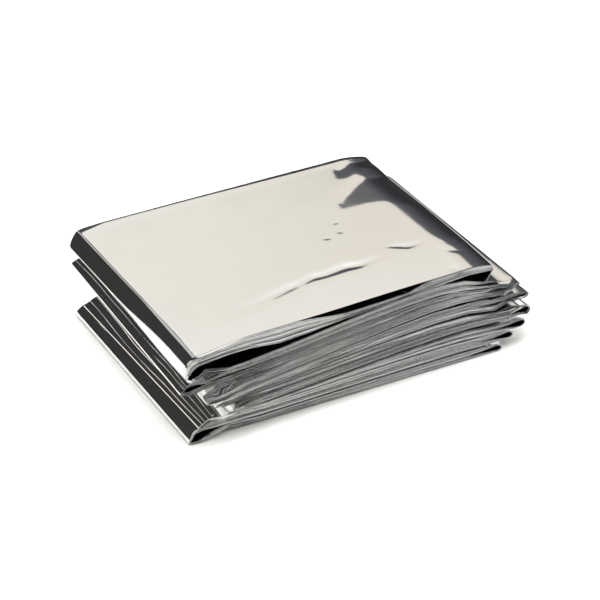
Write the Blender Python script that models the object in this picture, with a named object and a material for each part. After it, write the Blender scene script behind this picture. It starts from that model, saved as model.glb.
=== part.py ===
"""Emergency foil blanket, folded: one large sheet of metallised film, in one piece.

The film is pleated lengthwise into a strip, and the strip is folded back and forth from left to right
into a low stack. The solid is the stack's back-and-forth section, which lies in X-Z and is carried along
Y from the front face to the back one. Its top run is a looser, thicker bundle that arches over a gap
shaped like half a lens at the left, and curls down at the right. The folds are staggered, and the lower
runs are turned a little.
Metres, +Z up. The origin is at the middle of the stack's box, on the surface that it lies on.
"""

import math

import bpy
import numpy as np

MM = 0.001

# Driving sizes in millimetres. X runs along the strip from the left folds, and Y from the front pleats.
STACK_HEIGHT = 31.0
RUN_THICKNESS = 1.2
TOP_THICKNESS = 2.6
END_GAP = 0.48  # between two runs near their folds
MIDDLE_GAP = 0.84  # between two runs in the middle, where the stack is fuller
FAN = 0.14  # how much a gap closes toward its own fold and opens toward the other end
SPAN = 112.0  # a run's usual length

# The fuller middle of the stack: where it starts to swell and is full, then is full and has sunk, along X.
SWELL_FRONT = (22.0, 54.0, 84.0, 112.0)
SWELL_BACK = (8.0, 36.0, 70.0, 108.0)

# The large fold at the left of the top run: an upper and a lower quarter of an ellipse.
ARCH_DROP = 4.9
ARCH_REACH = 7.6
TURN_REACH = 2.6

# The curl at the right end of the top run: it sags, turns down and ends in a short leg.
SAG_LENGTH = (9.0, 20.0)  # at the front and at the back
SAG_ANGLE = 15.0
CURL_RADIUS = 1.7
LEG_ANGLE = 108.0
LEG_LENGTH = (1.6, 0.3)  # at the front and at the back
TOP_END = (109.6, 110.4)  # the curl's outer edge at the front and at the back
BOTTOM_END = (2.0, 1.6)  # the bottom run's free left end at the front and at the back
END_WIDTH = (0.0, 80.0)  # where the pleats of both free ends lie along Y, at the front and at the back

# One row for each fold, from the top one down: its side, where its outer edge lies along X at the front and
# at the back, and where the strip's front and back pleats lie along Y there (all in millimetres).
FOLDS = (
    # side, edge_front, edge_back, front, back
    ("left", -0.4, -1.4, 0.0, 80.0),
    ("right", 111.5, 111.0, 0.0, 78.4),
    ("left", -1.8, -0.8, 0.0, 80.4),
    ("right", 120.3, 118.8, 0.5, 78.6),
    ("left", 4.2, 6.0, -4.0, 77.0),
    ("right", 122.4, 120.4, -1.2, 78.0),
    ("left", 8.0, 6.6, -2.0, 78.2),
    ("right", 121.4, 119.6, -3.8, 76.4),
    ("left", 11.0, 7.2, -4.6, 76.6),
    ("right", 118.6, 118.0, -6.0, 74.4),
    ("left", -1.2, -1.5, -0.6, 76.8),
    ("right", 114.4, 115.6, -5.3, 75.2),
    ("left", -0.2, -1.0, -0.4, 79.2),
    ("right", 110.0, 112.4, -5.5, 75.8),
)
RUNS = len(FOLDS) + 1

# How finely the section and the strip's width are divided.
RUN_STEPS = 9
FOLD_STEPS = 6
ARCH_STEPS = 7
CURL_STEPS = 6
WIDTH_STEPS = 8

FILM_COLOUR = (0.80, 0.80, 0.78, 1.0)
FILM_ROUGHNESS = 0.18


def ease(value, start, end):
    """0 before start, 1 after end, and smooth between them."""
    share = np.clip((value - start) / (end - start), 0.0, 1.0)
    return share * share * (3.0 - 2.0 * share)


def between(front, back, depth):
    """A size at this depth, which goes from 0 at the front to 1 at the back."""
    return front + (back - front) * depth


def gap_at(x, depth):
    """The gap between two lower runs at x: wide in the middle of the stack, narrow near the folds."""
    swell = [between(a, b, depth) for a, b in zip(SWELL_FRONT, SWELL_BACK)]
    fullness = ease(x, swell[0], swell[1]) * (1.0 - ease(x, swell[2], swell[3]))
    return END_GAP + (MIDDLE_GAP - END_GAP) * fullness


def run_height(run, x, depth):
    """The height of a run's middle at x. Run 0 is the top one, which lies level over the others."""
    if run == 0:
        return np.full_like(x, STACK_HEIGHT - TOP_THICKNESS / 2)
    below = RUNS - 1 - run
    height = RUN_THICKNESS / 2 + below * (RUN_THICKNESS + gap_at(x, depth))
    if below % 2 == 1:
        height = height - FAN * np.clip(2.0 * x / SPAN - 1.0, -1.0, 1.0)
    return height


def fold_path(fold, depth):
    """The round path of a fold's middle, from the run above it to the run below it."""
    side, edge_front, edge_back = FOLDS[fold][:3]
    edge = between(edge_front, edge_back, depth)
    sign = -1.0 if side == "left" else 1.0
    above, below = (float(run_height(run, np.array(edge), depth)) for run in (fold, fold + 1))
    radius = (above - below) / 2
    centre_x = edge - sign * (radius + RUN_THICKNESS / 2)
    angle = np.linspace(math.pi / 2, -math.pi / 2, FOLD_STEPS + 1)
    x = centre_x + sign * radius * np.cos(angle)
    z = (above + below) / 2 + radius * np.sin(angle)
    return x, z, np.full_like(x, RUN_THICKNESS / 2)


def arch_path(depth):
    """The large left fold of the top run: down a wide quarter ellipse, and back in through a small one."""
    edge_front, edge_back = FOLDS[0][1:3]
    top = STACK_HEIGHT - TOP_THICKNESS / 2
    middle = top - ARCH_DROP
    turn_thickness = (TOP_THICKNESS + RUN_THICKNESS) / 2
    edge = between(edge_front, edge_back, depth) + turn_thickness / 2
    turn_x = edge + TURN_REACH
    turn_z = float(run_height(1, np.array(turn_x), depth))
    angle = np.linspace(0.0, math.pi / 2, ARCH_STEPS + 1)
    wide_x = edge + ARCH_REACH * (1.0 - np.sin(angle))
    wide_z = middle + ARCH_DROP * np.cos(angle)
    turn_angle = angle[1:]
    small_x = edge + TURN_REACH * (1.0 - np.cos(turn_angle))
    small_z = middle - (middle - turn_z) * np.sin(turn_angle)
    half = np.linspace(TOP_THICKNESS / 2, RUN_THICKNESS / 2, 2 * ARCH_STEPS + 1)
    return np.append(wide_x, small_x), np.append(wide_z, small_z), half


def curl_path(depth):
    """The top run's right end, from its free edge back to where the run lies level."""
    sag = np.radians(SAG_ANGLE)
    leg = np.radians(LEG_ANGLE)
    sagging = np.linspace(0.0, sag, CURL_STEPS)
    rounding = np.linspace(sag, leg, CURL_STEPS)[1:]
    heading = np.concatenate((sagging, rounding, [leg]))
    turn_step = CURL_RADIUS * (leg - sag) / (CURL_STEPS - 1)
    sag_step = between(*SAG_LENGTH, depth) / (CURL_STEPS - 1)
    steps = [sag_step] * (CURL_STEPS - 1) + [turn_step] * (CURL_STEPS - 1) + [between(*LEG_LENGTH, depth)]
    turning = (heading[1:] + heading[:-1]) / 2
    x = np.append(0.0, np.cumsum(steps * np.cos(turning)))
    z = np.append(0.0, np.cumsum(-np.sin(turning) * steps))
    thickness = np.interp(
        np.arange(len(x)),
        (0, CURL_STEPS, len(x) - 1),
        (TOP_THICKNESS, TOP_THICKNESS, RUN_THICKNESS),
    )
    half = thickness / 2
    outer = np.max(x + half * np.sin(heading))
    x = x + between(*TOP_END, depth) - outer
    z = z + STACK_HEIGHT - TOP_THICKNESS / 2
    return x[::-1], z[::-1], half[::-1]


def run_path(run, start, end, depth):
    """A run's middle between two folds, without the folds' own end points."""
    x = np.linspace(start, end, RUN_STEPS + 1)[1:-1]
    thickness = TOP_THICKNESS if run == 0 else RUN_THICKNESS
    return x, run_height(run, x, depth), np.full_like(x, thickness / 2)


def stack_path(depth):
    """The whole path of the section's middle at one depth: x, y, z and half thickness."""
    pieces = [curl_path(depth)]
    for fold in range(len(FOLDS)):
        bend = arch_path(depth) if fold == 0 else fold_path(fold, depth)
        pieces.append(run_path(fold, pieces[-1][0][-1], bend[0][0], depth))
        pieces.append(bend)
    free_x = np.linspace(pieces[-1][0][-1], between(*BOTTOM_END, depth), RUN_STEPS + 1)[1:]
    pieces.append((free_x, run_height(RUNS - 1, free_x, depth), np.full_like(free_x, RUN_THICKNESS / 2)))
    x, z, half = (np.concatenate(column) for column in zip(*pieces))
    bends = np.cumsum([len(piece[0]) for piece in pieces])
    middles = [(bends[2 * fold + 1] + bends[2 * fold + 2]) // 2 for fold in range(len(FOLDS))]
    knots = [0] + middles + [len(x)]
    widths = [END_WIDTH] + [row[3:] for row in FOLDS] + [END_WIDTH]
    y = np.interp(np.arange(len(x)), knots, [between(*width, depth) for width in widths])
    return x, y, z, half


def stack_sides(depth):
    """The section's two sides at one depth, in millimetres, each offset along the path's normal."""
    x, y, z, half = stack_path(depth)
    along = np.stack((np.gradient(x), np.gradient(z)), axis=1)
    along /= np.linalg.norm(along, axis=1, keepdims=True)
    sides = []
    for sign in (1.0, -1.0):
        side_x = x - sign * half * along[:, 1]
        side_z = z + sign * half * along[:, 0]
        sides.append(np.stack((side_x, y, side_z), axis=1))
    return sides


def stack_points():
    """Every point of the solid, one ring for each depth, with the origin at the box's bottom centre."""
    rings = []
    for depth in np.linspace(0.0, 1.0, WIDTH_STEPS + 1):
        near, far = stack_sides(depth)
        rings.append(np.concatenate((near, far[::-1])))
    points = np.array(rings)
    low = points.min(axis=(0, 1))
    high = points.max(axis=(0, 1))
    origin = np.array(((low[0] + high[0]) / 2, (low[1] + high[1]) / 2, low[2]))
    return (points - origin) * MM


def stack_faces(rings, ring_size):
    """Quads round every ring and over both end faces, all facing out."""
    faces = []
    for ring in range(rings - 1):
        first = ring * ring_size
        for place in range(ring_size):
            after = (place + 1) % ring_size
            near = (first + place, first + after)
            faces.append((*near, near[1] + ring_size, near[0] + ring_size))
    last = (rings - 1) * ring_size
    for place in range(ring_size // 2 - 1):
        corners = (place, place + 1, ring_size - 2 - place, ring_size - 1 - place)
        faces.append(corners[::-1])
        faces.append(tuple(last + corner for corner in corners))
    return faces


def film_material():
    """Metallised film: bright silver with a soft sheen."""
    material = bpy.data.materials.new("metallised_film")
    material.use_nodes = True
    shader = material.node_tree.nodes["Principled BSDF"]
    shader.inputs["Base Color"].default_value = FILM_COLOUR
    shader.inputs["Metallic"].default_value = 1.0
    shader.inputs["Roughness"].default_value = FILM_ROUGHNESS
    return material


def build_blanket():
    """The folded blanket as one closed mesh."""
    points = stack_points()
    rings, ring_size, _ = points.shape
    mesh = bpy.data.meshes.new("foil_blanket")
    mesh.from_pydata(points.reshape(-1, 3).tolist(), [], stack_faces(rings, ring_size))
    mesh.materials.append(film_material())
    mesh.shade_smooth()
    mesh.set_sharp_from_angle(angle=math.radians(40.0))
    blanket = bpy.data.objects.new("foil_blanket", mesh)
    bpy.context.scene.collection.objects.link(blanket)


for old in list(bpy.data.objects):
    bpy.data.objects.remove(old, do_unlink=True)
build_blanket()
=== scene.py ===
"""Emergency foil blanket, folded: the film itself, as one thin sheet laid in every one of its folds.

The sheet is pleated across its width into a strip of plies, and the strip is folded back and forth along its
length. Both foldings are one grid surface: one parameter runs along the strip and round its folds, the other
across the plies and round their pleats. Sizes are in millimetres in the packet's own layout, where X starts
near the left folds and Y near the front pleats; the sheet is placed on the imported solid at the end.
"""

import math

import bpy
import numpy as np
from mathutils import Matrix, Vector


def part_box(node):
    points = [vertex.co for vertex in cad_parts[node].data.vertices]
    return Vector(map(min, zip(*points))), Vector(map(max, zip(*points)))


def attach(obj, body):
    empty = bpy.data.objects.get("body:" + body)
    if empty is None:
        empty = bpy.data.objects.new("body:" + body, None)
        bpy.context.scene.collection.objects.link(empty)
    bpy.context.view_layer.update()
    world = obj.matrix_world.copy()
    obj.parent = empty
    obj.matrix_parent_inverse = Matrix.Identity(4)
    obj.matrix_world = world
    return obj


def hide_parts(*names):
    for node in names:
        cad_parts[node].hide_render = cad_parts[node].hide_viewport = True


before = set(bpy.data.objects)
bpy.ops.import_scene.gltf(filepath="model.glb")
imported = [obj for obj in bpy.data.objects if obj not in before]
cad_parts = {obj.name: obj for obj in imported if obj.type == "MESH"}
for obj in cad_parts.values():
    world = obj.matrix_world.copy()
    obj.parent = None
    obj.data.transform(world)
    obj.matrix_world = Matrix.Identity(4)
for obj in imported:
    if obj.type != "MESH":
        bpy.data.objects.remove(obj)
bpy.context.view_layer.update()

MM = 0.001

# ---------------------------------------------------------------- the packet's sizes, in millimetres

STACK_HEIGHT = 31.0
RUN_THICKNESS = 1.2  # one run of the solid; the lowest run's middle lies half of this above the floor
END_GAP = 0.48  # between two runs near their folds
MIDDLE_GAP = 0.84  # between two runs in the fuller middle of the stack
LEFT_EDGE = -1.8  # where the solid's leftmost fold lies along X in the packet's layout
FRONT_EDGE = -6.0  # where its front lies along Y there

# The fuller middle of the stack: where it starts to swell and is full, then is full and has sunk, along X.
SWELL_FRONT = (10.0, 86.0, 90.0, 114.0)
SWELL_BACK = (8.0, 40.0, 68.0, 106.0)

# One row for each fold, from the top one down: its side, where its outer edge lies along X at the front and
# at the back, where the strip's front and back pleats lie along Y there, how high its tip lies between its
# two runs (0 at the lower one, 1 at the upper), half the height to which the runs are drawn together or
# spread apart at the tip, how far the loop reaches along X, how far along X the runs are drawn so, and the
# bend of the loop's upper half: 1 is round and more is slanting.
FOLDS = (
    # side, edge_front, edge_back, front, back, tip, radius, reach, pinched, bend
    ("left", -0.2, -1.4, 0.0, 82.0, 0.5, 0.8, 0.8, 6.0, 1.0),
    ("right", 111.5, 111.0, 0.0, 78.4, 0.8, 0.5, 0.9, 14.0, 1.5),
    ("left", -2.4, -0.8, 0.6, 80.4, 0.35, 0.8, 2.6, 8.0, 1.5),
    ("right", 120.5, 119.6, 0.5, 78.6, 1.0, 0.62, 1.1, 18.0, 1.5),
    ("left", 4.2, 6.0, -4.0, 77.0, 0.4, 0.42, 0.6, 7.0, 1.0),
    ("right", 122.4, 120.4, -1.2, 78.0, 0.9, 0.55, 0.9, 16.0, 1.5),
    ("left", 8.0, 6.6, -2.0, 78.2, 0.3, 0.42, 0.6, 6.0, 1.0),
    ("right", 121.4, 119.6, -3.8, 76.4, 0.5, 1.28, 1.4, 14.0, 1.2),
    ("left", 11.0, 7.2, -4.6, 76.6, 0.5, 0.42, 0.6, 8.0, 1.0),
    ("right", 118.6, 118.0, -6.0, 74.4, 0.45, 1.3, 1.6, 12.0, 1.0),
    ("left", 3.4, 1.2, -0.6, 76.8, 0.3, 0.45, 1.0, 6.0, 1.5),
    ("right", 114.4, 115.6, -5.6, 75.2, 0.42, 1.3, 1.8, 12.0, 1.0),
    ("left", -0.2, -1.0, -0.4, 79.2, 0.05, 1.3, 2.6, 8.0, 1.6),
    ("right", 110.0, 112.4, -6.2, 75.8, 0.36, 1.24, 2.0, 13.0, 1.0),
)
RUNS = len(FOLDS) + 1
END_WIDTH = (0.2, 79.0)  # where the pleats of both free ends lie along Y, at the front and at the back
STRIP_LENGTH = 1680.0  # in round figures
BOTTOM_END = (8.0, 7.6)  # the bottom run's free left end, at the front and at the back

# The left ends of the lowest runs sink from here along X to these heights at the leftmost edge, at the
# front and at the back.
SINKING = (10.0, -1.5)
SINKING_BLEND = 0.08  # how rounded the sinking starts and ends, as a share of that stretch
SUNK = {10: (5.1, 4.9), 11: (4.3, 3.6), 12: (3.4, 2.3), 13: (0.31, 0.6)}
PINCH_START = 1.0  # this near to a fold's tip its runs are drawn to it in full
HIGHEST_TIP = 0.7  # a loop's own tip lies no higher than this between its runs
PAIRED = 0.05  # how far the runs of each right fold lie closer together than the rest

# The large fold at the left of the top run, on its outer ply: a squarer bend at the front than at the back.
ARCH_REACH = (4.6, 3.8)
ARCH_DROP = (5.8, 3.9)
ARCH_BEND = (1.02, 1.7)
ARCH_CHANGE = (0.1, 0.62)  # between these depths it goes from the one shape to the other
TURN_REACH = (2.4, 5.2)  # how far the quarter below it reaches back in, at the front and at the back

# The right end of the top run, on its outer ply, from the free edge: it sags, curls, and ends in a leg.
CURL_EDGE = (109.8, 110.4)
SAG_LENGTH = 10.5
SAG_ANGLE = 17.0
SAG_BEND = 0.7  # below 1 it bends more at its start
CURL_RADIUS = 1.1
LEG_ANGLE = 122.0
LEG_LENGTH = (4.4, 0.8)

# How thick the bundle of plies is at the tips of the folds.
FOLD_BUNDLE = 0.6
# How thick it is along the top run. Each row is X and the thickness at the front.
TOP_BUNDLE = ((4.0, 3.6), (14.0, 3.0), (22.0, 3.3), (32.0, 4.8), (44.0, 4.4), (54.0, 3.7), (74.0, 3.2),
              (100.0, 2.5))
BACK_BUNDLE = 0.6  # the share of it at the back
GAPS = (0.15, 0.27)  # the other runs fill their pitch but for a gap between these
# Along the curl it thickens, and round the large fold it thins, while the path moves to its middle: between
# which shares of the way.
CURL_THICKENS = (0.1, 0.9)
ARCH_THINS = (0.15, 0.72)
ARCH_MOVES = (0.5, 1.0)

# Between these places along X the outer ply lifts off at the front. The hollow takes this share of the run.
HOLLOW = (38.0, 60.0, 76.0, 88.0)
HOLLOW_SHARE = 0.78

# How far pleats wander from their row along Y, over long and short stretches of the strip.
WANDER = ((0.11, 220.0), (0.05, 12.0))
# The plies of a run lean over toward the pleats of the runs above and below it. Each row is X and the share
# of the way.
LEANING = ((14.0, 0.2), (34.0, 1.0), (92.0, 1.0), (108.0, 0.4))
# How unevenly the pleats end round the large left fold, between which places that fades, and over how long
# a stretch it changes.
STAGGER = 0.9
STAGGERED = (10.0, 26.0)
STAGGER_STRETCH = 60.0
PLY_STRETCH = 112.0  # over how long a stretch the gaps between plies change
PLY_SPREAD = 1.6  # how uneven they are
OPENING = 0.9  # how wide a gap that opens at an edge is there, against one that a pleat closes
# How far back the face's front edge lies. Each row is X and that size.
FACE_EDGE = ((0.0, 0.6), (5.0, 0.4), (10.0, 1.0), (21.0, 2.3), (34.0, 1.9), (100.0, 1.0))
# The first run under the large fold steps back by this size, between where it starts and where it ends.
STEP_BACK = 2.4
STEP_BACK_STARTS = (3.0, 8.0)
STEP_BACK_ENDS = (12.4, 14.2)
ROUNDED = (-1.6, 8.0, 4.2)  # the face's back left corner is rounded off between these, by this
RIBBONS = {1: 2.4, 3: 3.0}  # near their right folds the top ply of these runs steps back by this
RIBBON_LENGTH = (20.0, 8.0)  # from where to where before the fold
CRUMPLED = (9.0, 27.0)  # the left ends of the lower runs are crumpled up to here, and gone smooth there
# The right ends are crumpled too, from here on, by this share, down to the fold under this run.
CRUMPLED_RIGHT = (94.0, 108.0)
RIGHT_SHARE = 0.9
LAST_CRUMPLED = 7
CRUMPLE_CELL = 4.5
CRUMPLE = (1.1, 0.34)  # along Y and Z
CRUMPLE_DEPTH = 0.2  # the lift along Z has faded at this depth
PLEAT_SHARE = 0.5  # how much each pleat crumples by itself, against all of them together

# Seeds of what is uneven: the gaps between runs and between plies, and the pleats.
GAP_SEED = 11
SPREAD_SEED = 20
WANDER_SEED = 40
CRUMPLE_SEED = 50
STAGGER_SEED = 60

# The slack between the face and the plies under it, which starts and ends between these depths, and how
# much of the face's relief the lowest ply has lost.
FACE_SLACK = 0.9
SLACK_STARTS = (0.03, 0.1)
SLACK_ENDS = (0.9, 0.97)
RELIEF_LOST = 0.7

# ---------------------------------------------------------------- the face's creases and waves

# Each crease is a trough along these places: X, Y, depth and half width.
CREASES = (
    ((14.6, 12.6, 0.00, 3.0), (26.2, 14.5, 0.08, 2.4), (33.0, 15.6, 0.14, 2.1), (39.4, 16.9, 0.25, 1.8),
     (46.0, 18.4, 0.27, 1.7), (50.0, 18.9, 0.19, 1.6), (55.0, 19.8, 0.27, 1.7), (59.0, 19.4, 0.25, 1.7),
     (66.6, 19.9, 0.33, 1.9), (71.0, 18.9, 0.24, 1.6), (80.5, 19.6, 0.04, 1.1)),
    ((82.0, 24.8, 0.00, 0.8), (86.6, 22.6, 0.14, 1.1), (90.0, 20.6, 0.18, 1.3), (93.0, 20.5, 0.14, 1.2),
     (98.0, 21.6, 0.02, 0.9)),
    ((97.2, 15.0, 0.00, 0.7), (100.5, 12.8, 0.14, 1.0), (103.0, 11.0, 0.09, 0.8)),
    ((94.2, 3.8, 0.00, 0.6), (96.2, 3.4, 0.13, 0.8), (98.2, 3.2, 0.00, 0.6)),
    ((75.4, 43.6, 0.00, 0.6), (77.4, 44.2, 0.10, 0.8), (79.0, 44.6, 0.00, 0.6)),
    ((73.6, 38.9, 0.00, 0.6), (75.8, 38.6, 0.11, 0.8), (77.4, 38.4, 0.00, 0.6)),
    ((67.4, 37.9, 0.00, 0.6), (70.2, 37.4, 0.11, 0.9), (72.8, 37.1, 0.00, 0.6)),
)
# The strip in front of the long crease leans forward a little. Its hinge, as X and Y.
HINGE = ((0.0, 9.0), (26.0, 14.5), (48.0, 19.0), (80.0, 19.6), (97.0, 21.4), (112.0, 16.0))
HINGE_LEAN = 2.2
HINGE_BLEND = 2.0
STRIP_REACH = 60.0  # farther than the strip reaches
# Two dents near the back right corner: the angle at which each falls, and how far its corners are rounded.
# Each row is X, and where the dent starts and is deepest along Y. Past that it rises in a third of the way.
DENTS = (
    (1.9, 0.6, ((83.0, 50.8, 50.9), (84.5, 49.8, 53.6), (88.6, 49.6, 57.2), (93.0, 49.3, 60.0),
                (97.1, 48.4, 62.6), (100.4, 46.6, 63.6), (103.0, 43.0, 64.0), (112.0, 42.0, 64.0))),
    (2.6, 0.6, ((91.0, 68.2, 68.3), (92.6, 67.9, 69.2), (94.7, 67.3, 73.0), (98.0, 66.8, 74.0),
                (102.0, 65.6, 75.4), (112.0, 65.0, 76.0))),
)
DENT_RISE = 3.0
# Near its back edge the face first rises and then leans back. Each row is X and where both start, behind
# the front row of pleats.
BACK_EDGE = ((-2.0, 74.6, 77.6), (12.0, 77.8, 80.8), (44.0, 77.0, 79.9), (80.0, 76.4, 78.3),
             (104.0, 76.4, 77.6))
BACK_RISE = 4.5
BACK_LEAN = 7.0
BACK_REACH = 9.0
BACK_BLEND = 0.3

# ---------------------------------------------------------------- the sheet

PLIES = 26

# How finely the grid is divided.
STATIONS = 33  # sections of the strip, from the front to the back
TOP_STEPS = 112
RUN_STEPS = 13
FOLD_STEPS = 7
ARCH_STEPS = 11
CURL_STEPS = 8
FACE_STEPS = 100
# The depths at which the plies are sampled, in the top run and in the others. The face has even steps.
TOP_DEPTHS = (0.0, 0.03, 0.1, 0.28, 0.46, 0.9, 0.97, 1.0)
PLY_DEPTHS = (0.0, 0.04, 0.96, 1.0)
PLEAT = ((0.14, 0.9), (0.86, 0.9))  # a pleat's samples: how far down it, and how far out, of its half height
LOOP_STEPS = 10
CROWDING = 0.75  # how much closer together a run's sections are toward its ends: 0 is not at all
UV_MARGIN = 0.004  # left free at both ends of a grid's part of the UVs


def ease(value, start, end):
    """0 before start, 1 after end, and a smooth cubic step between them."""
    share = np.clip((value - start) / (end - start), 0.0, 1.0)
    return share * share * (3.0 - 2.0 * share)


def between(front, back, depth):
    """A size at this depth, which goes from 0 at the front to 1 at the back."""
    return front + (back - front) * depth


def noise(seed, rows, stretch, place, smooth=True):
    """Random rows from -1 to 1 along the strip: seeded points this far apart, joined by curves or lines."""
    cells = int(STRIP_LENGTH / stretch)
    values = np.random.default_rng(seed).uniform(-1.0, 1.0, (rows, cells + 1))
    at = np.clip(place, 0.0, 1.0) * cells
    low = np.minimum(at.astype(int), cells - 1)
    share = at - low
    if smooth:
        share = ease(share, 0.0, 1.0)
    return values[:, low] * (1.0 - share) + values[:, low + 1] * share


def level_height(run, x, depth):
    """The height at x of a lower run's middle, or of the top run's outer ply, before its ends are drawn in.

    The lower runs lie one pitch apart. The pitch grows in the fuller middle of the stack, and the left ends
    of the lowest runs sink.
    """
    if run == 0:
        return np.full(np.broadcast(x, depth).shape, STACK_HEIGHT)
    swell = [between(a, b, depth) for a, b in zip(SWELL_FRONT, SWELL_BACK)]
    fullness = ease(x, swell[0], swell[1]) * (1.0 - ease(x, swell[2], swell[3]))
    pitch = RUN_THICKNESS + END_GAP + (MIDDLE_GAP - END_GAP) * fullness
    height = RUN_THICKNESS / 2 + (RUNS - 1 - run) * pitch
    if run in SUNK:
        share = soft_clip((x - SINKING[0]) / (SINKING[1] - SINKING[0]), 0.0, 1.0, SINKING_BLEND)
        height = height + (between(*SUNK[run], depth) - height) * share
    return height


def fold_edge(fold, depth):
    """Where a fold's outer edge lies along X."""
    return between(*FOLDS[fold][1:3], depth)


def pinch(fold, x, depth):
    """How far a run is drawn to a fold's tip at x: 1 at the tip and 0 past that fold's length."""
    reach = np.abs(x - fold_edge(fold, depth))
    return 1.0 - ease(reach, PINCH_START, FOLDS[fold][8])


def run_height(run, x, depth):
    """The height at x of a run's middle, drawn near both its ends to the height of the fold's loop there."""
    height = level_height(run, x, depth)
    if run == 0:
        return height
    if run < RUNS - 1:
        closer = PAIRED if run % 2 == 0 else -PAIRED
        height = height + closer * (1.0 - pinch(run, x, depth)) * (1.0 - pinch(run - 1, x, depth))
    for fold in (run - 1, run):
        if 1 <= fold < len(FOLDS):
            tip, radius = FOLDS[fold][5:7]
            step = level_height(fold, x, depth) - level_height(fold + 1, x, depth)
            toward = tip if fold < run else tip - 1.0
            height = height + toward * (step - 2.0 * radius) * pinch(fold, x, depth)
    return height


def fold_path(fold, depth):
    """A fold's loop from the run above to the run below: two quarter superellipses that meet at its tip."""
    sign = -1.0 if FOLDS[fold][0] == "left" else 1.0
    tip, _, reach, _, bend = FOLDS[fold][5:]
    edge = fold_edge(fold, depth)
    above = run_height(fold, edge, depth)
    below = run_height(fold + 1, edge, depth)
    middle = below + (above - below) * min(tip, HIGHEST_TIP)
    angle = np.linspace(math.pi / 2, -math.pi / 2, FOLD_STEPS + 1)
    power = np.where(angle > 0.0, bend, 1.0)
    x = edge - sign * (reach + FOLD_BUNDLE / 2) + sign * reach * np.abs(np.cos(angle)) ** power
    rise = np.where(angle > 0.0, above - middle, below - middle)
    return x, middle + rise * np.abs(np.sin(angle)) ** power


def arch_path(depth):
    """The top run's large left fold: a wide quarter down on the outer ply, and a small quarter back in.

    Both are superellipses, whose power goes from a squarer bend at the front to a slanting one.
    """
    edge = fold_edge(0, depth)
    share = ease(depth, *ARCH_CHANGE)
    sizes = (ARCH_DROP, ARCH_REACH, TURN_REACH, ARCH_BEND)
    drop, reach, turn_reach, power = (between(*pair, share) for pair in sizes)
    middle = STACK_HEIGHT - drop
    turn_z = run_height(1, edge + turn_reach, depth)
    angle = np.linspace(0.0, math.pi / 2, ARCH_STEPS + 1)
    turn = angle[1:]
    wide_x = edge + reach * (1.0 - np.sin(angle) ** power)
    wide_z = middle + drop * np.maximum(np.cos(angle), 0.0) ** power
    small_x = edge + turn_reach * (1.0 - np.maximum(np.cos(turn), 0.0) ** power)
    small_z = middle - (middle - turn_z) * np.sin(turn) ** power
    return np.concatenate((wide_x, small_x), axis=1), np.concatenate((wide_z, small_z), axis=1)


def curl_path(depth):
    """The top run's right end on its outer ply, from its free edge back to where the run lies level.

    It is walked step by step from the level part: sagging, round the curl, and down the leg.
    """
    sag = np.radians(SAG_ANGLE)
    leg = np.radians(LEG_ANGLE)
    sagging = sag * np.linspace(0.0, 1.0, CURL_STEPS) ** SAG_BEND
    turning = np.linspace(sag, leg, CURL_STEPS)[1:]
    heading = np.concatenate((sagging, turning, [leg, leg]))
    mean = (heading[1:] + heading[:-1]) / 2
    sag_steps = np.full(CURL_STEPS - 1, SAG_LENGTH / (CURL_STEPS - 1))
    turn_steps = np.full(CURL_STEPS - 1, CURL_RADIUS * (leg - sag) / (CURL_STEPS - 1))
    fixed = np.concatenate((sag_steps, turn_steps)) + 0.0 * depth
    steps = np.concatenate((fixed, np.repeat(between(*LEG_LENGTH, depth) / 2, 2, axis=1)), axis=1)
    x = np.concatenate((0.0 * depth, np.cumsum(steps * np.cos(mean), axis=1)), axis=1)
    z = np.concatenate((0.0 * depth, np.cumsum(-steps * np.sin(mean), axis=1)), axis=1)
    x = x + between(*CURL_EDGE, depth) - x.max(axis=1, keepdims=True)
    return x[:, ::-1], STACK_HEIGHT + z[:, ::-1]


def spaced(steps):
    """Shares of a run from 0 to 1, closer together toward both ends: even ones less a share of a sine."""
    share = np.linspace(0.0, 1.0, steps + 1)
    return share - CROWDING * np.sin(2.0 * math.pi * share) / (2.0 * math.pi)


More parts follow.
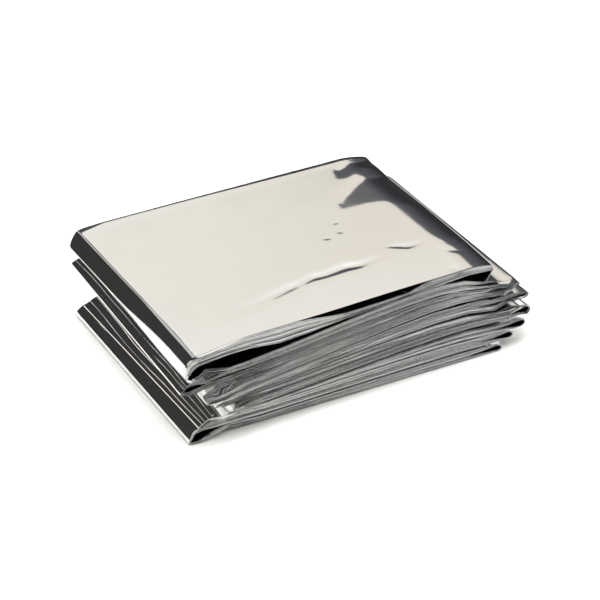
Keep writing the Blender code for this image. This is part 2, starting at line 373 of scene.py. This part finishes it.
def strip_path():
    """The strip's path at every station: x, z, the bundle's thickness, the path's place across it, the run.

    The path lies on the outer ply along the top run, and in the middle of the bundle along the others. The
    run is its number, the top one's being 0, and a fold's is that of the run above it and a half.
    """
    depth = np.linspace(0.0, 1.0, STATIONS)[:, None]
    gaps = np.random.default_rng(GAP_SEED).uniform(*GAPS, RUNS)
    parts = []

    def add(x, z, bundle, place, run):
        """Adds stations to the path."""
        parts.append([np.broadcast_to(row, x.shape) for row in (x, z, bundle, place, float(run))])

    def top_bundle(x):
        """How thick the top run's bundle is at x."""
        return np.interp(x, *np.array(TOP_BUNDLE).T) * between(1.0, BACK_BUNDLE, depth)

    x, z = curl_path(depth)
    share = np.linspace(0.0, 1.0, x.shape[1])
    add(x, z, between(FOLD_BUNDLE, top_bundle(x), ease(share, *CURL_THICKENS)), -0.5, 0)
    for fold in range(len(FOLDS)):
        bend_x, bend_z = arch_path(depth) if fold == 0 else fold_path(fold, depth)
        start = parts[-1][0][:, -1:]
        if fold == 0:
            share = np.linspace(0.0, 1.0, TOP_STEPS + 1)[1:-1]
            x = start + (bend_x[:, :1] - start) * share
            add(x, run_height(0, x, depth), top_bundle(x), -0.5, 0)
            turn = np.linspace(0.0, 1.0, bend_x.shape[1])
            bundle = between(top_bundle(bend_x), FOLD_BUNDLE, ease(turn, *ARCH_THINS))
            add(bend_x, bend_z, bundle, -0.5 + 0.5 * ease(turn, *ARCH_MOVES), 0.5)
            continue
        x = start + (bend_x[:, :1] - start) * spaced(RUN_STEPS)[1:-1]
        full = level_height(fold, x, depth) - level_height(fold + 1, x, depth) - gaps[fold]
        loose = (1.0 - pinch(fold, x, depth)) * (1.0 - pinch(fold - 1, x, depth))
        add(x, run_height(fold, x, depth), between(FOLD_BUNDLE, full, loose), 0.0, fold)
        add(bend_x, bend_z, FOLD_BUNDLE, 0.0, fold + 0.5)
    start = parts[-1][0][:, -1:]
    x = start + (between(*BOTTOM_END, depth) - start) * spaced(RUN_STEPS)[1:]
    loose = 1.0 - pinch(len(FOLDS) - 1, x, depth)
    add(x, run_height(RUNS - 1, x, depth), between(FOLD_BUNDLE, RUN_THICKNESS, loose), 0.0, RUNS - 1)
    x, z, bundle, place, run = (np.concatenate(rows, axis=1) for rows in zip(*parts))
    return x, z, bundle, place, run[0]


def pleat_rows(run, place):
    """Where the strip's front and back pleats lie along Y, straight from each fold to the next one."""
    middles = [place[run == fold + 0.5].mean() for fold in range(len(FOLDS))]
    rows = [END_WIDTH] + [row[3:5] for row in FOLDS] + [END_WIDTH]
    return [np.interp(place, [0.0, *middles, 1.0], [row[side] for row in rows]) for side in (0, 1)]


def leaning_rows(run, place, side):
    """How far along Y the outer plies of the folds lean: the high plies at right folds, the low ones at left.

    From each fold's upper run to its lower one it goes from its distance to the fold above on the same side
    to that of the fold below, and it is 0 at the folds of the other side.
    """
    rows = [row[3 + side] for row in FOLDS]
    low, high, knots = [], [], []
    for fold, row in enumerate(rows):
        above = rows[fold - 2] - row if fold > 2 else 0.0
        below = rows[fold + 2] - row if fold + 2 < len(rows) else 0.0
        at = place[run == fold + 0.5]
        knots += [at[0], at[-1]]
        low += [0.0, 0.0] if fold % 2 else [above, below]
        high += [above, below] if fold % 2 else [0.0, 0.0]
    return [np.interp(place, knots, values) for values in (low, high)]


def ply_samples(face_steps, depths):
    """Across the strip, a column for each sample: its ply, the next one, its share of that, depth, bulge.

    A ply's samples cross it from pleat to pleat. A pleat's samples go round half a circle to the next ply.
    """
    samples = []
    for ply in range(PLIES):
        steps = np.linspace(0.0, 1.0, face_steps) if ply == 0 and face_steps else np.array(depths)
        steps = steps[::-1] if ply % 2 else steps
        samples += [(ply, ply, 0.0, depth, 0.0) for depth in steps]
        if ply < PLIES - 1:
            angles = math.pi * np.arange(1, LOOP_STEPS) / LOOP_STEPS
            round_loop = [((1.0 - math.cos(a)) / 2, math.sin(a)) for a in angles]
            for share, bulge in round_loop if ply == 0 else PLEAT:
                samples.append((ply, ply + 1, share, steps[-1], bulge))
    return np.array(samples).T


def ply_places(place, x, run):
    """Where each ply lies across the bundle, from -0.5 to 0.5, along the strip: front, middle and back.

    The gaps between plies are seeded and uneven, each e to the power of a noise, as a share of their sum, so
    plies cling in bunches. In the hollow of the top run the first gap at the front takes most of the bundle.
    """
    layers = []
    for layer in range(3):
        weight = np.exp(PLY_SPREAD * noise(SPREAD_SEED + layer, PLIES - 1, PLY_STRETCH, place, smooth=False))
        if layer != 1:
            weight[layer // 2 :: 2] *= OPENING
        total = np.concatenate((np.zeros((1, weight.shape[1])), np.cumsum(weight, axis=0)))
        share = total / total[-1:]
        if layer == 0:
            hollow = HOLLOW_SHARE * ease(x, *HOLLOW[:2]) * (1.0 - ease(x, *HOLLOW[2:])) * (run == 0.0)
            share[1:] = hollow + (1.0 - hollow) * share[1:]
        layers.append(share - 0.5)
    return np.stack(layers)


def trough(rows, x, y):
    """A crease's height, 0 and below: a bell-shaped trough about the nearest point of a row of points."""
    rows = np.array(rows)
    best = np.full(x.shape, np.inf)
    depth = np.zeros(x.shape)
    width = np.ones(x.shape)
    for (ax, ay, ad, aw), (bx, by, bd, bw) in zip(rows[:-1], rows[1:]):
        share = ((x - ax) * (bx - ax) + (y - ay) * (by - ay)) / ((bx - ax) ** 2 + (by - ay) ** 2)
        share = np.clip(share, 0.0, 1.0)
        apart = np.hypot(x - ax - share * (bx - ax), y - ay - share * (by - ay))
        nearer = apart < best
        best = np.where(nearer, apart, best)
        depth = np.where(nearer, ad + share * (bd - ad), depth)
        width = np.where(nearer, aw + share * (bw - aw), width)
    return -depth * np.exp(-((best / width) ** 2))


def soft_clip(value, low, high, blend):
    """Clipped to between low and high, with corners rounded over about this blend."""
    def ramp(t):
        """Half of t and the root of its square and the blend's: 0 far below 0, and t far above it."""
        return (t + np.sqrt(t * t + blend * blend)) / 2
    return low + ramp(value - low) - ramp(value - high)


def face_relief(x, y):
    """The face's height over its level plane: its creases, the leaning front strip, and the dents."""
    height = sum(trough(rows, x, y) for rows in CREASES)
    hinge = np.interp(x, *np.array(HINGE).T)
    ahead = soft_clip(hinge - y, 0.0, STRIP_REACH, HINGE_BLEND)
    height = height - math.tan(math.radians(HINGE_LEAN)) * ahead
    for angle, blend, rows in DENTS:
        table = np.array(rows).T
        start = np.interp(x, table[0], table[1])
        width = np.interp(x, table[0], table[2]) - start
        fall = soft_clip(y - start, 0.0, width, blend)
        rise = soft_clip(y - start - width, 0.0, width / DENT_RISE, blend)
        height = height - math.tan(math.radians(angle)) * (fall - DENT_RISE * rise)
    table = np.array(BACK_EDGE).T
    rise, lean = (np.interp(x, table[0], table[row]) for row in (1, 2))
    height = height + math.tan(math.radians(BACK_RISE)) * soft_clip(y - rise, 0.0, lean - rise, BACK_BLEND)
    return height - math.tan(math.radians(BACK_LEAN)) * soft_clip(y - lean, 0.0, BACK_REACH, BACK_BLEND)


def crumpled_share(run, px):
    """How crumpled the lower runs are: in full at their left ends, by a share at their right ends."""
    lower = run > 0.5
    left = (1.0 - ease(px, *CRUMPLED)) * lower
    return left + RIGHT_SHARE * ease(px, *CRUMPLED_RIGHT) * lower * (run <= LAST_CRUMPLED + 0.5)


def pleat_edges(strip_run, strip_place, columns, px, ply, share):
    """Where the front and back pleats of each sample's ply lie along Y: in their rows, and then moved.

    They wander, and lean toward the pleats of the runs above and below. At the front they are staggered round
    the large left fold, crumpled at both ends, and step back along the face, under the large fold and at the
    ribbons. At the back a quarter ellipse rounds off the face's left corner.
    """
    run, place = strip_run[columns], strip_place[columns]
    offside = (ply + share) / (PLIES - 1) - 0.5
    pleat = (ply + 1) // 2
    leaning = np.interp(px, *np.array(LEANING).T)
    edges = []
    for side, row in enumerate(pleat_rows(strip_run, strip_place)):
        wander = sum(
            size * noise(WANDER_SEED + 2 * side + turn, PLIES // 2 + 1, stretch, place)
            for turn, (size, stretch) in enumerate(WANDER)
        )
        low, high = (lean[columns] for lean in leaning_rows(strip_run, strip_place, side))
        lean = np.where(offside[:, None] > 0.0, high, low) * np.abs(offside)[:, None]
        edges.append(row[columns] + wander[(ply + 1 - side) // 2] + lean * leaning)
    front, back = edges

    stagger = STAGGER * noise(STAGGER_SEED, PLIES // 2 + 1, STAGGER_STRETCH, place)[pleat]
    front = front + stagger * (1.0 - ease(px, *STAGGERED)) * (run <= 1.5) * (ply > 0)[:, None]
    upper = (run <= 0.5) * 1.0
    front = front + upper * np.interp(px, *np.array(FACE_EDGE).T) * (1.0 - ply / (PLIES - 1))[:, None]
    stepped = ease(px, *STEP_BACK_STARTS) * (1.0 - ease(px, *STEP_BACK_ENDS))
    front = front + STEP_BACK * (run == 1.0) * stepped
    for ribbon, size in RIBBONS.items():
        ahead = float(FOLDS[ribbon][1]) - px
        near_fold = 1.0 - ease(ahead, RIBBON_LENGTH[1], RIBBON_LENGTH[0])
        on_ribbon = (run == ribbon) + (run == ribbon + 0.5)
        front = front + size * near_fold * on_ribbon * (ply == PLIES - 1)[:, None]
    shove = noise(CRUMPLE_SEED, 1, CRUMPLE_CELL, place)[0]
    shove = shove + PLEAT_SHARE * noise(CRUMPLE_SEED + 1, PLIES // 2 + 1, CRUMPLE_CELL, place)[pleat]
    front = front + CRUMPLE[0] * crumpled_share(run, px) * shove

    beside = np.clip((ROUNDED[1] - px) / (ROUNDED[1] - ROUNDED[0]), 0.0, 1.0)
    back = back - ROUNDED[2] * upper * (1.0 - np.sqrt(1.0 - beside * beside))
    return front, back


def film_points(path, samples, columns):
    """The sheet as a grid of points (across, along, 3) in millimetres, for these columns of the path.

    A point is set off from the path along its normal, by its ply's place in the bundle, and lies at its depth
    between its front and back pleats. Pleats bulge by half the gap between their plies. The top run's plies
    take the face's relief, less of it the lower they lie.
    """
    x, z, thick, anchor, run = path
    tangent = np.stack((np.gradient(x, axis=1), np.gradient(z, axis=1)))
    tangent /= np.linalg.norm(tangent, axis=0, keepdims=True)
    middle = STATIONS // 2
    walked = np.hypot(np.diff(x[middle]), np.diff(z[middle]))
    place = np.concatenate(([0.0], np.cumsum(walked))) / walked.sum()

    ply, following, share, level, bulge = samples
    ply = ply.astype(int)
    following = following.astype(int)
    at = level * (STATIONS - 1)
    low = np.minimum(at.astype(int), STATIONS - 2)
    weight = (at - low)[:, None]

    def at_depth(values):
        """The path's values at each sample's depth, between the stations on both sides of it."""
        values = values[:, columns]
        return values[low] * (1.0 - weight) + values[low + 1] * weight

    places = ply_places(place, x[0], run)[:, :, columns]
    third = level * 2.0
    layer = np.minimum(third.astype(int), 1)
    mix = (third - layer)[:, None]

    def place_of(which):
        """Where these plies lie across the bundle at each sample's depth."""
        return places[layer, which] * (1.0 - mix) + places[layer + 1, which] * mix

    own, other = place_of(ply), place_of(following)
    across = own + (other - own) * share[:, None]
    bundle = at_depth(thick)
    offset = bundle * (across - at_depth(anchor))
    px = at_depth(x) - at_depth(tangent[1]) * offset
    pz = at_depth(z) + at_depth(tangent[0]) * offset

    front, back = pleat_edges(run, place, columns, px, ply, share)
    radius = bundle * np.abs(other - own) / 2
    outward = np.where(level < 0.5, -1.0, 1.0)[:, None]
    py = between(front, back, level[:, None]) + outward * radius * bulge[:, None]

    near_front = 1.0 - ease(level, 0.0, CRUMPLE_DEPTH)[:, None]
    lift = noise(CRUMPLE_SEED + 2, 1, CRUMPLE_CELL, place[columns])
    pz = pz + CRUMPLE[1] * crumpled_share(run[columns], px) * near_front * lift

    bend = np.flatnonzero(run == 0.5)
    past_face = ease(np.arange(len(run)), bend[0], bend[len(bend) // 2])
    on_top = ((run == 0.0) + (run == 0.5) * (1.0 - past_face))[columns]
    under = (across - at_depth(anchor)) * (ply > 0)[:, None]
    slack = (ease(level, *SLACK_STARTS) * (1.0 - ease(level, *SLACK_ENDS)) * (ply > 0))[:, None]
    relief = face_relief(px, py) * (1.0 - RELIEF_LOST * under)
    pz = pz + on_top * (relief - FACE_SLACK * slack * (1.0 - under))
    return np.stack((px, py, pz), axis=-1)


def sheet_object(name, grids):
    """Grids of points (rows, columns, 3) as one smooth open mesh of quads, each with its part of the UVs."""
    points, quads, uvs = [], [], []
    first = 0
    for part, grid in enumerate(grids):
        rows, columns, _ = grid.shape
        index = first + np.arange(rows * columns).reshape(rows, columns)
        corners = (index[:-1, :-1], index[1:, :-1], index[1:, 1:], index[:-1, 1:])
        quads.append(np.stack(corners, axis=-1).reshape(-1, 4))
        points.append(grid.reshape(-1, 3))
        across = np.linspace(0.0, 1.0, rows)
        along = (part + np.linspace(UV_MARGIN, 1.0 - UV_MARGIN, columns)) / len(grids)
        uvs.append(np.stack(np.meshgrid(across, along, indexing="ij"), axis=-1).reshape(-1, 2))
        first += rows * columns
    points, quads, uvs = (np.concatenate(rows) for rows in (points, quads, uvs))
    mesh = bpy.data.meshes.new(name)
    mesh.vertices.add(len(points))
    mesh.vertices.foreach_set("co", points.reshape(-1).astype(np.float32))
    mesh.loops.add(quads.size)
    mesh.loops.foreach_set("vertex_index", quads.reshape(-1))
    mesh.polygons.add(len(quads))
    mesh.polygons.foreach_set("loop_start", np.arange(0, quads.size, 4))
    mesh.update(calc_edges=True)
    corner_uvs = uvs[quads.reshape(-1)]
    mesh.uv_layers.new(name="OFBake").data.foreach_set("uv", corner_uvs.reshape(-1).astype(np.float32))
    mesh.shade_smooth()
    piece = bpy.data.objects.new(name, mesh)
    bpy.context.scene.collection.objects.link(piece)
    return piece


# ---------------------------------------------------------------- materials


def colour(code):
    """An sRGB hex code as linear RGBA."""
    parts = np.array([int(code[i : i + 2], 16) for i in (0, 2, 4)]) / 255.0
    linear = np.where(parts <= 0.04045, parts / 12.92, ((parts + 0.055) / 1.055) ** 2.4)
    return (*linear.tolist(), 1.0)


def add_node(tree, kind, settings=(), links=()):
    """Adds a node with its settings, given by attribute or by input, and the sockets that feed its inputs."""
    node = tree.nodes.new(kind)
    for key, value in dict(settings).items():
        if isinstance(key, str) and hasattr(node, key):
            setattr(node, key, value)
        else:
            node.inputs[key].default_value = value
    for key, socket in dict(links).items():
        tree.links.new(socket, node.inputs[key])
    return node


def new_material(name):
    """A new material, its node tree and its shader."""
    material = bpy.data.materials.new(name)
    material.use_nodes = True
    return material, material.node_tree, material.node_tree.nodes["Principled BSDF"]


# The film's patterns, by the size of one cell in millimetres: a length over how many cells it holds. The
# real crinkle is too fine to show, so it is drawn as coarse as it needs to break up what the film mirrors.
TINT_SIZE = 1000.0 / 28.0
TINTS = ("E8E8E6", "E5E6E7")
HAZE_SIZE = 100.0 / 9.0
HAZE = (0.05, 0.13)  # the roughness, from clear to hazy
CRINKLE_SIZE = 10.0 / 9.0
CRINKLE_HEIGHT = 0.02
CRINKLE_STRENGTH = 0.3

# The shingles at both ends: how far apart they are, how much they drift, past which share each is level, the
# size of the streaks in which they drift, and between which heights of the unit normal they come to show.
SHINGLE = 1.7
SHINGLE_DRIFT = 4.0
SHINGLE_LIP = 0.9
STREAK_SIZE = (25.0 / 3.0, 500.0 / 11.0, 2.5)
LEVEL_ENOUGH = (0.84, 0.99)
# At the left and at the right end: between which X and which heights they fade, and their angle before and
# past that X.
SHINGLED = (((13.0, 19.0), (24.0, 24.8), (35.0, 0.0)), ((98.0, 104.0), (10.6, 11.4), (0.0, -13.0)))
HALF_LENGTH = 60.3  # from the left edge to the solid's middle


def metallised_film():
    """Polyester film with vapour-deposited aluminium: a bright mirror, crinkled very finely all over.

    At both ends the edges of inner layers lie one beyond another as shingles, which fall toward the end.
    """
    material, tree, shader = new_material("metallised_film")
    shader.inputs["Metallic"].default_value = 1.0
    place = add_node(tree, "ShaderNodeTexCoord").outputs["Object"]

    # Patches of a slightly warmer and a cooler silver.
    tint = add_node(tree, "ShaderNodeTexNoise", {"Scale": 1.0 / (TINT_SIZE * MM), "Detail": 1.0},
                    {"Vector": place})
    silver = {"data_type": "RGBA", 6: colour(TINTS[0]), 7: colour(TINTS[1])}
    shade = add_node(tree, "ShaderNodeMix", silver, {0: tint.outputs["Fac"]})
    tree.links.new(shade.outputs[2], shader.inputs["Base Color"])

    # Patches of haze, where the film was handled.
    haze = add_node(tree, "ShaderNodeTexNoise", {"Scale": 1.0 / (HAZE_SIZE * MM), "Detail": 3.0},
                    {"Vector": place})
    rough = add_node(tree, "ShaderNodeMapRange", {"To Min": HAZE[0], "To Max": HAZE[1]},
                     {"Value": haze.outputs["Fac"]})
    tree.links.new(rough.outputs["Result"], shader.inputs["Roughness"])

    # The crinkle, which sets fine glints into what is mirrored.
    crinkle = add_node(tree, "ShaderNodeTexNoise", {"Scale": 1.0 / (CRINKLE_SIZE * MM), "Detail": 2.0},
                       {"Vector": place})
    bump = add_node(tree, "ShaderNodeBump", {"Strength": CRINKLE_STRENGTH, "Distance": CRINKLE_HEIGHT * MM},
                    {"Height": crinkle.outputs["Fac"]})

    # The shingles: a sawtooth along X, which drifts in long streaks along Y.
    apart = add_node(tree, "ShaderNodeSeparateXYZ", (), {0: place})
    streaks = add_node(tree, "ShaderNodeMapping", {"Scale": [1.0 / (size * MM) for size in STREAK_SIZE]},
                       {"Vector": place})
    drift = add_node(tree, "ShaderNodeTexNoise", {"Scale": 1.0, "Detail": 1.0},
                     {"Vector": streaks.outputs[0]})
    along = add_node(tree, "ShaderNodeMath", {"operation": "MULTIPLY_ADD", 1: SHINGLE_DRIFT * MM},
                     {0: drift.outputs["Fac"], 2: apart.outputs["X"]})
    tooth = add_node(tree, "ShaderNodeMath", {"operation": "FLOORED_MODULO", 1: SHINGLE * MM},
                     {0: along.outputs[0]})
    tooth = add_node(tree, "ShaderNodeMath", {"operation": "MINIMUM", 1: SHINGLE_LIP * SHINGLE * MM},
                     {0: tooth.outputs[0]})
    slopes = []
    for fade_x, fade_z, angles in SHINGLED:
        beside = add_node(tree, "ShaderNodeMapRange", {
            "interpolation_type": "SMOOTHSTEP",
            "From Min": (fade_x[0] - HALF_LENGTH) * MM, "From Max": (fade_x[1] - HALF_LENGTH) * MM,
            "To Min": math.tan(math.radians(angles[0])), "To Max": math.tan(math.radians(angles[1])),
        }, {"Value": apart.outputs["X"]})
        under = add_node(tree, "ShaderNodeMapRange", {
            "interpolation_type": "SMOOTHSTEP", "From Min": fade_z[0] * MM, "From Max": fade_z[1] * MM,
            "To Min": 1.0, "To Max": 0.0,
        }, {"Value": apart.outputs["Z"]})
        slopes.append(add_node(tree, "ShaderNodeMath", {"operation": "MULTIPLY"},
                               {0: beside.outputs[0], 1: under.outputs[0]}).outputs[0])
    slope = add_node(tree, "ShaderNodeMath", {"operation": "ADD"}, {0: slopes[0], 1: slopes[1]})

    # They show where the film lies level.
    normal = add_node(tree, "ShaderNodeNewGeometry").outputs["Normal"]
    facing = add_node(tree, "ShaderNodeSeparateXYZ", (), {0: normal})
    level = add_node(tree, "ShaderNodeMapRange", {
        "interpolation_type": "SMOOTHSTEP", "From Min": LEVEL_ENOUGH[0], "From Max": LEVEL_ENOUGH[1],
    }, {"Value": facing.outputs["Z"]})
    for factor in (level, tooth):
        slope = add_node(tree, "ShaderNodeMath", {"operation": "MULTIPLY"},
                         {0: slope.outputs[0], 1: factor.outputs[0]})
    drawn = add_node(tree, "ShaderNodeBump", {"Strength": 1.0, "Distance": 1.0},
                     {"Height": slope.outputs[0], "Normal": bump.outputs["Normal"]})
    tree.links.new(drawn.outputs["Normal"], shader.inputs["Normal"])
    return material


# ---------------------------------------------------------------- the part

# The grid is cut across in the top run's large fold, past which the outer ply needs fewer samples.
path = strip_path()
split = int(np.flatnonzero(path[4] == 0.5)[-1])
low_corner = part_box("foil_blanket")[0]
shift = np.array((low_corner[0] - LEFT_EDGE * MM, low_corner[1] - FRONT_EDGE * MM, 0.0))
top = film_points(path, ply_samples(FACE_STEPS, TOP_DEPTHS), slice(0, split + 1))
stack = film_points(path, ply_samples(0, PLY_DEPTHS), slice(split, None))
film = sheet_object("foil_film", [grid * MM + shift for grid in (top, stack)])
film.data.materials.append(metallised_film())
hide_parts("foil_blanket")
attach(film, "root")

# ---------------------------------------------------------------- the studio


def towards(azimuth, elevation):
    """The unit direction at this azimuth, clockwise from +Y, and elevation, in degrees."""
    a, e = math.radians(azimuth), math.radians(elevation)
    return Vector((math.sin(a) * math.cos(e), math.cos(a) * math.cos(e), math.sin(e)))


def hang(name, data, azimuth, elevation, distance):
    """An object in this direction, its own -Z toward the packet."""
    thing = bpy.data.objects.new(name, data)
    direction = towards(azimuth, elevation)
    thing.location = direction * distance
    thing.rotation_euler = (-direction).to_track_quat("-Z", "Y").to_euler()
    bpy.context.scene.collection.objects.link(thing)
    return thing


def rectangle(name, half_width, half_height, material):
    """A flat rectangle of these half sizes."""
    mesh = bpy.data.meshes.new(name)
    corners = [(-half_width, -half_height, 0), (half_width, -half_height, 0),
               (half_width, half_height, 0), (-half_width, half_height, 0)]
    mesh.from_pydata(corners, [], [(0, 1, 2, 3)])
    mesh.materials.append(material)
    return mesh


def emission_material(name):
    """A new material without any node yet, for one that gives light."""
    material = bpy.data.materials.new(name)
    material.use_nodes = True
    material.node_tree.nodes.clear()
    return material, material.node_tree


# Matt paper: evenly white, and it mirrors nothing.
FLOOR_HALF = 3.0
PAPER_ROUGHNESS = 0.9
paper, _, shader = new_material("matt_white_paper")
shader.inputs["Base Color"].default_value = colour("F4F4F2")
shader.inputs["Roughness"].default_value = PAPER_ROUGHNESS
floor = bpy.data.objects.new("studio_floor", rectangle("studio_floor", FLOOR_HALF, FLOOR_HALF, paper))
bpy.context.scene.collection.objects.link(floor)

# The large soft box that the face mirrors: its lit window, from its middle and in metres, and the dim cloth
# round it.
BOX_DISTANCE = 1.6
BOX_HALF = 0.9
BOX_AIM = (27.5, 42.0)
WINDOW_MIDDLE = (0.09, 0.02)  # to the right and up
WINDOW_HALF = (0.36, 0.38)
WINDOW_SOFT = 0.008
# The steps of light and tint on its cloth: along what each goes, between which places, and from which value
# to which. "outside" is how far outside the window, and "right" and "up" are from the window's middle.
CLOTH_STEPS = {
    "lit": ("outside", -WINDOW_SOFT, WINDOW_SOFT, 1.0, 0.0),
    "dim": ("outside", 0.0, 0.5, 0.17, 0.045),
    "aside": ("right", -0.23, 0.07, 0.0, 1.0),
    "above": ("up", -0.22, -0.02, 0.0, 1.0),
    "bright": ("up", -0.22, -0.02, 0.83, 0.88),
    "brighter": ("up", 0.0, 0.14, 0.0, 0.19),
}
CLOTH_TINTS = {"left": "FFFCF1", "right": "F9F2E6", "upper": "FEFAF4", "dim": "D9DBE6"}


def soft_cloth():
    """Diffusing cloth lit from behind: even in its window, whiter toward the top, dim and bluish outside."""
    material, tree = emission_material("diffusing_cloth")
    place = add_node(tree, "ShaderNodeTexCoord").outputs["Object"]
    moved = add_node(tree, "ShaderNodeMapping", {
        "Location": (-WINDOW_MIDDLE[0], -WINDOW_MIDDLE[1], 0.0), "Scale": (-1.0, 1.0, 1.0),
    }, {"Vector": place})
    apart = add_node(tree, "ShaderNodeSeparateXYZ", (), {0: moved.outputs[0]})
    places = {"right": apart.outputs["X"], "up": apart.outputs["Y"]}
    beyond = []
    for name, half in zip(("right", "up"), WINDOW_HALF):
        size = add_node(tree, "ShaderNodeMath", {"operation": "ABSOLUTE"}, {0: places[name]})
        past = add_node(tree, "ShaderNodeMath", {"operation": "SUBTRACT", 1: half}, {0: size.outputs[0]})
        beyond.append(past.outputs[0])
    outside = add_node(tree, "ShaderNodeMath", {"operation": "MAXIMUM"}, {0: beyond[0], 1: beyond[1]})
    places["outside"] = outside.outputs[0]
    steps = {}
    for name, (along, start, end, low, high) in CLOTH_STEPS.items():
        steps[name] = add_node(tree, "ShaderNodeMapRange", {
            "interpolation_type": "SMOOTHSTEP",
            "From Min": start, "From Max": end, "To Min": low, "To Max": high,
        }, {"Value": places[along]}).outputs["Result"]
    tints = {name: colour(code) for name, code in CLOTH_TINTS.items()}
    sides = add_node(tree, "ShaderNodeMix", {"data_type": "RGBA", 6: tints["left"], 7: tints["right"]},
                     {0: steps["aside"]})
    window = add_node(tree, "ShaderNodeMix", {"data_type": "RGBA", 7: tints["upper"]},
                      {0: steps["above"], 6: sides.outputs[2]})
    tone = add_node(tree, "ShaderNodeMix", {"data_type": "RGBA", 6: tints["dim"]},
                    {0: steps["lit"], 7: window.outputs[2]})
    bright = add_node(tree, "ShaderNodeMath", {"operation": "ADD"},
                      {0: steps["bright"], 1: steps["brighter"]})
    strength = add_node(tree, "ShaderNodeMath", {"operation": "MULTIPLY_ADD"},
                        {0: steps["lit"], 1: bright.outputs[0], 2: steps["dim"]})
    light = add_node(tree, "ShaderNodeEmission", (),
                     {"Color": tone.outputs[2], "Strength": strength.outputs[0]})
    add_node(tree, "ShaderNodeOutputMaterial", (), {"Surface": light.outputs[0]})
    return material


box = hang("soft_box", rectangle("soft_box", BOX_HALF, BOX_HALF, soft_cloth()), *BOX_AIM, BOX_DISTANCE)

# White card, evenly lit, which the film's other sides mirror as clean planes: between which azimuths and
# which elevations each one stands. One more hangs overhead.
CARDS = ((77, 140, 4, 38), (170, 217, 4, 38), (219, 280, 8, 66), (283, 314, 14, 62), (347, 367, 8, 50))
CARD_DISTANCE = 1.5
CARD_GLOW = 0.7
TOP_CARD_HALF = 0.55
card_light, tree = emission_material("white_card")
glow = add_node(tree, "ShaderNodeEmission", {"Color": colour("FBFAF6"), "Strength": CARD_GLOW})
add_node(tree, "ShaderNodeOutputMaterial", (), {"Surface": glow.outputs[0]})
for left, right, low, high in CARDS:
    elevation = (low + high) / 2
    out = CARD_DISTANCE * math.cos(math.radians(elevation))
    half_width = out * math.tan(math.radians((right - left) / 2))
    half_height = CARD_DISTANCE * math.tan(math.radians((high - low) / 2))
    card = rectangle("white_card", half_width, half_height, card_light)
    hang("white_card", card, (left + right) / 2, elevation, CARD_DISTANCE)
card = rectangle("white_card", TOP_CARD_HALF, TOP_CARD_HALF, card_light)
hang("white_card", card, 0.0, 90.0, CARD_DISTANCE)

# Lamps: azimuth, elevation, distance, width, height, radiance, and whether the film mirrors it. The left one
# gives the glints. The others light the paper, and the wide one softens the shadows on it.
LAMPS = {
    "top_lamp": (0, 90, 1.1, 0.72, 0.72, 5.2, False),
    "left_lamp": (250, 42, 1.5, 0.8, 0.6, 0.9, True),
    "wide_lamp": (0, 90, 1.4, 2.4, 2.4, 1.7, False),
}
for name, (azimuth, elevation, distance, width, height, radiance, mirrored) in LAMPS.items():
    lamp = bpy.data.lights.new(name, "AREA")
    lamp.shape = "RECTANGLE"
    lamp.size, lamp.size_y = width, height
    lamp.energy = radiance * math.pi * width * height
    hung = hang(name, lamp, azimuth, elevation, distance)
    hung.visible_glossy = mirrored

# The dim grey that the film mirrors between the cards.
world = bpy.data.worlds.new("studio_air")
world.use_nodes = True
world.node_tree.nodes["Background"].inputs["Color"].default_value = colour("3B3B3A")
world.node_tree.nodes["Background"].inputs["Strength"].default_value = 1.0
bpy.context.scene.world = world

# ---------------------------------------------------------------- the camera

VIEW_AIM = (29.7, -33.8)  # azimuth and elevation of the line of sight
VIEW_DISTANCE = 0.644
VIEW_TARGET = Vector((-0.0013, -0.0018, 0.012))

lens = bpy.data.cameras.new("view")
lens.lens = 120.0
lens.sensor_width = 36.0
lens.clip_start = 0.01
camera = bpy.data.objects.new("view", lens)
sight = towards(*VIEW_AIM)
camera.location = VIEW_TARGET - sight * VIEW_DISTANCE
camera.rotation_euler = sight.to_track_quat("-Z", "Y").to_euler()
bpy.context.scene.collection.objects.link(camera)
bpy.context.scene.camera = camera
bpy.context.scene.view_settings.view_transform = "Standard"
